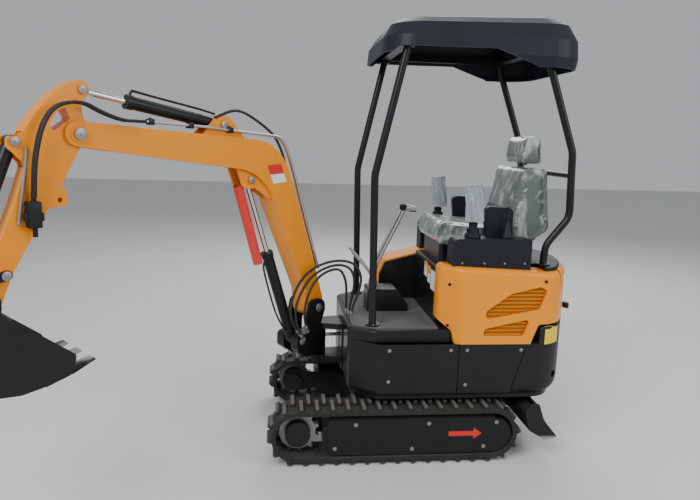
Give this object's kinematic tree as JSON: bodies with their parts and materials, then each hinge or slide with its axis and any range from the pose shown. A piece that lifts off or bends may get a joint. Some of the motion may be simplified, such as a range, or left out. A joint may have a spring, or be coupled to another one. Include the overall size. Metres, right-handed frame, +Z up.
{
  "type": "mini excavator",
  "caption": "Small tracked excavator with canopy, swung boom, curled bucket and a raised dozer blade behind.",
  "frame": {"origin": "ground level, at the middle of the whole machine's box seen from above, in the pose of the picture", "axes": "+X forward, the way the operator faces; +Y to the operator's left; +Z up"},
  "size_m": [2.7143, 1.6826, 2.1601],
  "materials": {
    "paint_orange": "satin orange-yellow paint",
    "paint_black": "semi-gloss black paint",
    "rubber": "dusty ribbed rubber",
    "cast_black": "black painted casting",
    "steel": "worn steel",
    "chrome": "polished rod",
    "plastic_black": "fine-grained black plastic",
    "mat": "grey ribbed rubber mat",
    "vinyl_black": "black vinyl under clear film",
    "engine": "plain block"
  },
  "bodies": {
    "undercarriage": {"track_left": "rubber", "track_right": "rubber", "track_frames": "paint_black", "track_covers": "paint_black", "sprockets": "steel", "travel_motors": "cast_black", "idlers": "steel", "rollers": "steel", "carbody": "paint_black", "slew_ring": "steel"},
    "dozer_blade": {"blade": "paint_black"},
    "house": {"deck": "paint_black", "swing_bracket": "paint_black", "lower_panels": "paint_black", "side_panels": "paint_black", "counterweight": "cast_black", "floor_deck": "paint_black", "floor_mat": "mat", "seat_riser": "paint_black", "engine_block": "engine", "hood_left": "paint_orange", "hood_right": "paint_orange", "rear_bonnet": "paint_orange", "bonnet_top": "paint_black", "inner_panel": "paint_black", "hood_grilles": "plastic_black", "consoles": "paint_black", "joysticks": "plastic_black", "seat_base": "paint_black", "seat_cushion": "vinyl_black", "seat_back": "vinyl_black", "headrest": "vinyl_black", "travel_controls": "paint_black", "travel_levers": "paint_black", "canopy_posts": "paint_black", "canopy_roof": "plastic_black", "roof_frame": "paint_black"},
    "swing_post": {"swing_post": "cast_black"},
    "boom": {"boom": "paint_orange"},
    "stick": {"stick": "paint_orange"},
    "rocker": {"rocker": "paint_black"},
    "bucket_link": {"bucket_link": "paint_black"},
    "bucket": {"bucket": "paint_black"},
    "ram_boom_barrel": {"ram_boom_barrel": "paint_black"},
    "ram_boom_rod": {"ram_boom_rod": "chrome"},
    "ram_stick_barrel": {"ram_stick_barrel": "paint_black"},
    "ram_stick_rod": {"ram_stick_rod": "chrome"},
    "ram_bucket_barrel": {"ram_bucket_barrel": "paint_black"},
    "ram_bucket_rod": {"ram_bucket_rod": "chrome"},
    "ram_swing_barrel": {"ram_swing_barrel": "paint_black"},
    "ram_swing_rod": {"ram_swing_rod": "chrome"},
    "ram_blade_barrel": {"ram_blade_barrel": "paint_black"},
    "ram_blade_rod": {"ram_blade_rod": "chrome"}
  },
  "joints": [
    {"name": "slew", "type": "hinge", "parent": "undercarriage", "child": "house", "pos_m": [-0.4297, -0.3872, 0.318], "axis": [0, 0, 1], "continuous": true},
    {"name": "blade_lift", "type": "hinge", "parent": "undercarriage", "child": "dozer_blade", "pos_m": [-0.6797, -0.3872, 0.165], "axis": [0, 1, 0], "range_deg": [-30, 0]},
    {"name": "boom_swing", "type": "hinge", "parent": "house", "child": "swing_post", "pos_m": [-0.0627, -0.3872, 0.43], "axis": [0, 0, 1], "range_deg": [-90, 10]},
    {"name": "boom_lift", "type": "hinge", "parent": "swing_post", "child": "boom", "pos_m": [-0.00525, -0.33899, 0.7], "axis": [0.6428, -0.766, 0], "range_deg": [-72, 18]},
    {"name": "stick_crowd", "type": "hinge", "parent": "boom", "child": "stick", "pos_m": [0.91094, 0.42978, 1.551], "axis": [-0.6428, 0.766, 0], "range_deg": [-45, 58]},
    {"name": "bucket_curl", "type": "hinge", "parent": "stick", "child": "bucket", "pos_m": [1.15914, 0.63805, 0.968], "axis": [-0.6428, 0.766, 0], "range_deg": [-115, 35]},
    {"name": "boom_ram_pivot", "type": "hinge", "parent": "swing_post", "child": "ram_boom_barrel", "pos_m": [0.07902, -0.26828, 0.54], "axis": [0.6428, -0.766, 0], "range_deg": [-69.87, 17.92]},
    {"name": "boom_ram_stroke", "type": "slide", "parent": "ram_boom_barrel", "child": "ram_boom_rod", "axis": [0.2582, 0.2167, 0.9415], "range_m": [-0.21968, 0.05642]},
    {"name": "stick_ram_pivot", "type": "hinge", "parent": "boom", "child": "ram_stick_barrel", "pos_m": [0.41838, 0.01647, 1.609], "axis": [-0.6428, 0.766, 0], "range_deg": [-1.8, 2.15]},
    {"name": "stick_ram_stroke", "type": "slide", "parent": "ram_stick_barrel", "child": "ram_stick_rod", "axis": [0.7558, 0.6342, 0.1628], "range_m": [-0.11541, 0.14818]},
    {"name": "bucket_ram_pivot", "type": "hinge", "parent": "stick", "child": "ram_bucket_barrel", "pos_m": [1.07717, 0.56927, 1.52], "axis": [-0.6428, 0.766, 0], "range_deg": [-2.43, 1.16]},
    {"name": "bucket_ram_stroke", "type": "slide", "parent": "ram_bucket_barrel", "child": "ram_bucket_rod", "axis": [0.2822, 0.2368, -0.9297], "range_m": [-0.16643, 0.05204]},
    {"name": "rocker_pivot", "type": "hinge", "parent": "stick", "child": "rocker", "pos_m": [1.12007, 0.60526, 1.06], "axis": [-0.6428, 0.766, 0], "range_deg": [-73.05, 22.65]},
    {"name": "link_pivot", "type": "hinge", "parent": "rocker", "child": "bucket_link", "pos_m": [1.22502, 0.69333, 1.033], "axis": [-0.6428, 0.766, 0], "range_deg": [-16, 51.2]},
    {"name": "swing_ram_pivot", "type": "hinge", "parent": "house", "child": "ram_swing_barrel", "pos_m": [-0.6197, -0.4872, 0.5], "axis": [0, 0, 1], "range_deg": [-0.83, 0.63]},
    {"name": "swing_ram_stroke", "type": "slide", "parent": "ram_swing_barrel", "child": "ram_swing_rod", "axis": [0.9993, 0.0376, 0], "range_m": [-0.14683, 0.01809]},
    {"name": "blade_ram_pivot", "type": "hinge", "parent": "undercarriage", "child": "ram_blade_barrel", "pos_m": [-0.6547, -0.3872, 0.264], "axis": [0, 1, 0], "range_deg": [-26.84, 0.6]},
    {"name": "blade_ram_stroke", "type": "slide", "parent": "ram_blade_barrel", "child": "ram_blade_rod", "axis": [-0.9972, 0, -0.0745], "range_m": [-0.002, 0.04817]}
  ],
  "couplings": [
    {"joint": "boom_ram_pivot", "follows": "boom_lift", "ratio": 0.96204},
    {"joint": "boom_ram_stroke", "follows": "boom_lift", "m_per_rad": 0.17322},
    {"joint": "stick_ram_pivot", "follows": "stick_crowd", "ratio": 0.026658},
    {"joint": "stick_ram_stroke", "follows": "stick_crowd", "m_per_rad": 0.1444},
    {"joint": "bucket_ram_pivot", "follows": "bucket_curl", "ratio": 0.015905},
    {"joint": "bucket_ram_stroke", "follows": "bucket_curl", "m_per_rad": 0.081923},
    {"joint": "rocker_pivot", "follows": "bucket_curl", "ratio": 0.63},
    {"joint": "link_pivot", "follows": "bucket_curl", "ratio": -0.44},
    {"joint": "swing_ram_pivot", "follows": "boom_swing", "ratio": 0.002576},
    {"joint": "swing_ram_stroke", "follows": "boom_swing", "m_per_rad": 0.092199},
    {"joint": "blade_ram_pivot", "follows": "blade_lift", "ratio": 0.87481},
    {"joint": "blade_ram_stroke", "follows": "blade_lift", "m_per_rad": -0.088176}
  ]
}
